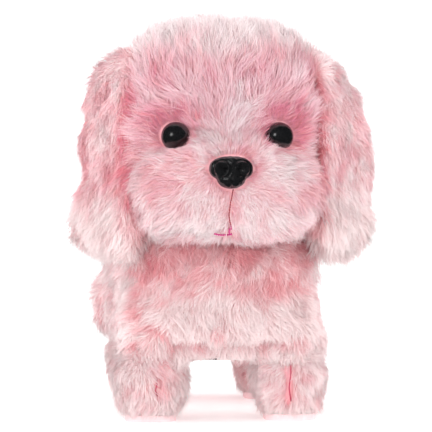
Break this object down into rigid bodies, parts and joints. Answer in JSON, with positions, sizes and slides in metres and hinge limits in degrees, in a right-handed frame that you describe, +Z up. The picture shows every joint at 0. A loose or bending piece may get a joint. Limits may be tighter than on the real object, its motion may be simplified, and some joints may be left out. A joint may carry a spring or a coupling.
{
  "type": "walking plush puppy toy",
  "caption": "Battery-driven walking toy puppy: long-pile plush cover with floppy ears over a plastic gear-driven body, nodding head and four stepping legs.",
  "frame": {"origin": "on the floor under the middle of the whole toy's footprint", "axes": "+Z up; the puppy faces -Y; its own left side is +X"},
  "size_m": [0.1372, 0.2, 0.18],
  "materials": {
    "head_plush": "long-pile acrylic plush, pale tips over a coral base",
    "body_plush": "long-pile acrylic plush, pale tips over a coral base",
    "leg_plush": "long-pile acrylic plush",
    "ear_plush": "long-pile acrylic plush on both faces",
    "tail_plush": "long-pile acrylic plush",
    "stuffing": "polyester fibre filling",
    "mouth_thread": "twisted embroidery thread",
    "casing_plastic": "moulded ABS, fine texture",
    "leg_plastic": "moulded ABS",
    "gear_plastic": "moulded acetal, slightly waxy",
    "steel": "turned and zinc plated",
    "motor_steel": "drawn steel can",
    "brass": "cut brass",
    "eye_plastic": "polished black, one pale highlight",
    "nose_plastic": "polished black with two nostrils",
    "washer_plastic": "moulded polyethylene",
    "sole_rubber": "soft moulded rubber, grooved",
    "battery_jacket": "plain printed jacket with steel ends",
    "contact_steel": "nickel plated spring steel",
    "switch_plastic": "moulded, ribbed",
    "board": "solder-masked laminate",
    "components": "moulded electronic parts",
    "speaker": "pressed basket with paper cone",
    "wire": "insulated hook-up wire"
  },
  "bodies": {
    "chassis": {"casing_left": "casing_plastic", "casing_right": "casing_plastic", "body_screws": "steel", "gearbox_inner_plate": "casing_plastic", "gearbox_outer_plate": "casing_plastic", "gearbox_spacers": "casing_plastic", "gear_pins": "steel", "motor_body": "motor_steel", "pivot_pins": "steel", "tail_bracket": "steel", "tail_spring": "steel", "battery_box": "casing_plastic", "batteries": "battery_jacket", "battery_contacts": "contact_steel", "slide_switch": "switch_plastic", "circuit_board": "board", "board_components": "components", "speaker": "speaker", "wiring": "wire", "body_cover": "body_plush"},
    "crank": {"crank_axle": "steel", "output_gear": "gear_plastic", "crank_discs": "gear_plastic", "nod_eccentric": "gear_plastic"},
    "gear_2": {"reduction_gear_2": "gear_plastic"},
    "gear_1": {"reduction_gear_1": "gear_plastic"},
    "motor_rotor": {"motor_shaft": "steel", "motor_pinion": "brass"},
    "head": {"skull_front": "casing_plastic", "skull_back": "casing_plastic", "head_screws": "steel", "neck_post": "leg_plastic", "head_cover": "head_plush", "muzzle_stuffing": "stuffing", "eye_left": "eye_plastic", "eye_right": "eye_plastic", "snap_washers": "washer_plastic", "nose": "nose_plastic", "mouth_stitching": "mouth_thread"},
    "ear_left": {"ear_left": "ear_plush"},
    "ear_right": {"ear_right": "ear_plush"},
    "leg_front_left": {"leg_front_left": "leg_plastic", "sole_front_left": "sole_rubber", "leg_cover_front_left": "leg_plush"},
    "leg_front_right": {"leg_front_right": "leg_plastic", "sole_front_right": "sole_rubber", "leg_cover_front_right": "leg_plush"},
    "leg_rear_left": {"leg_rear_left": "leg_plastic", "sole_rear_left": "sole_rubber", "leg_cover_rear_left": "leg_plush"},
    "leg_rear_right": {"leg_rear_right": "leg_plastic", "sole_rear_right": "sole_rubber", "leg_cover_rear_right": "leg_plush"},
    "link_left": {"leg_link_left": "gear_plastic"},
    "link_right": {"leg_link_right": "gear_plastic"},
    "tail": {"tail_lever": "leg_plastic", "tail_cover": "tail_plush"},
    "battery_cover": {"battery_door": "casing_plastic", "door_screw": "steel"},
    "switch": {"switch_knob": "switch_plastic"}
  },
  "joints": [
    {"name": "crank_spin", "type": "hinge", "parent": "chassis", "child": "crank", "pos_m": [0, 0, 0.056], "axis": [1, 0, 0], "continuous": true},
    {"name": "gear_2_spin", "type": "hinge", "parent": "chassis", "child": "gear_2", "pos_m": [0, 0.01536, 0.05871], "axis": [1, 0, 0], "continuous": true},
    {"name": "gear_1_spin", "type": "hinge", "parent": "chassis", "child": "gear_1", "pos_m": [0, 0.02725, 0.05704], "axis": [1, 0, 0], "continuous": true},
    {"name": "motor_spin", "type": "hinge", "parent": "chassis", "child": "motor_rotor", "pos_m": [0, 0.034, 0.06508], "axis": [1, 0, 0], "continuous": true},
    {"name": "head_nod", "type": "hinge", "parent": "chassis", "child": "head", "pos_m": [0, -0.022, 0.07], "axis": [1, 0, 0], "range_deg": [-7, 7]},
    {"name": "ear_left_flap", "type": "hinge", "parent": "head", "child": "ear_left", "pos_m": [0.0455, -0.043, 0.156], "axis": [0, -1, 0], "range_deg": [0, 60]},
    {"name": "ear_right_flap", "type": "hinge", "parent": "head", "child": "ear_right", "pos_m": [-0.0455, -0.043, 0.156], "axis": [0, 1, 0], "range_deg": [0, 60]},
    {"name": "leg_front_left_swing", "type": "hinge", "parent": "chassis", "child": "leg_front_left", "pos_m": [0.033, -0.04, 0.052], "axis": [1, 0, 0], "range_deg": [-14.5, 14.5]},
    {"name": "leg_front_right_swing", "type": "hinge", "parent": "chassis", "child": "leg_front_right", "pos_m": [-0.033, -0.04, 0.052], "axis": [1, 0, 0], "range_deg": [-14.5, 14.5]},
    {"name": "leg_rear_left_swing", "type": "hinge", "parent": "chassis", "child": "leg_rear_left", "pos_m": [0.033, 0.052, 0.052], "axis": [1, 0, 0], "range_deg": [-14.5, 14.5]},
    {"name": "leg_rear_right_swing", "type": "hinge", "parent": "chassis", "child": "leg_rear_right", "pos_m": [-0.033, 0.052, 0.052], "axis": [1, 0, 0], "range_deg": [-14.5, 14.5]},
    {"name": "link_left_pivot", "type": "hinge", "parent": "leg_front_left", "child": "link_left", "pos_m": [0.0368, -0.04, 0.038], "axis": [1, 0, 0], "range_deg": [-14.5, 14.5]},
    {"name": "link_right_pivot", "type": "hinge", "parent": "leg_front_right", "child": "link_right", "pos_m": [-0.0368, -0.04, 0.038], "axis": [1, 0, 0], "range_deg": [-14.5, 14.5]},
    {"name": "tail_wag", "type": "hinge", "parent": "chassis", "child": "tail", "pos_m": [0, 0.056, 0.073], "axis": [0, 0, 1], "range_deg": [-20, 20], "stiffness_Nm_per_rad": 0.02},
    {"name": "battery_cover_hinge", "type": "hinge", "parent": "chassis", "child": "battery_cover", "pos_m": [0, -0.0106, 0.025], "axis": [-1, 0, 0], "range_deg": [0, 70]},
    {"name": "switch_slide", "type": "slide", "parent": "chassis", "child": "switch", "axis": [1, 0, 0], "range_m": [0, 0.004]}
  ],
  "couplings": [
    {"joint": "gear_2_spin", "follows": "crank_spin", "ratio": -3.3333},
    {"joint": "gear_1_spin", "follows": "crank_spin", "ratio": 10},
    {"joint": "motor_spin", "follows": "crank_spin", "ratio": -25},
    {"joint": "leg_front_left_swing", "follows": "head_nod", "ratio": 2.0714},
    {"joint": "leg_front_right_swing", "follows": "head_nod", "ratio": -2.0714},
    {"joint": "leg_rear_left_swing", "follows": "head_nod", "ratio": 2.0714},
    {"joint": "leg_rear_right_swing", "follows": "head_nod", "ratio": -2.0714},
    {"joint": "link_left_pivot", "follows": "head_nod", "ratio": -2.0714},
    {"joint": "link_right_pivot", "follows": "head_nod", "ratio": 2.0714}
  ]
}
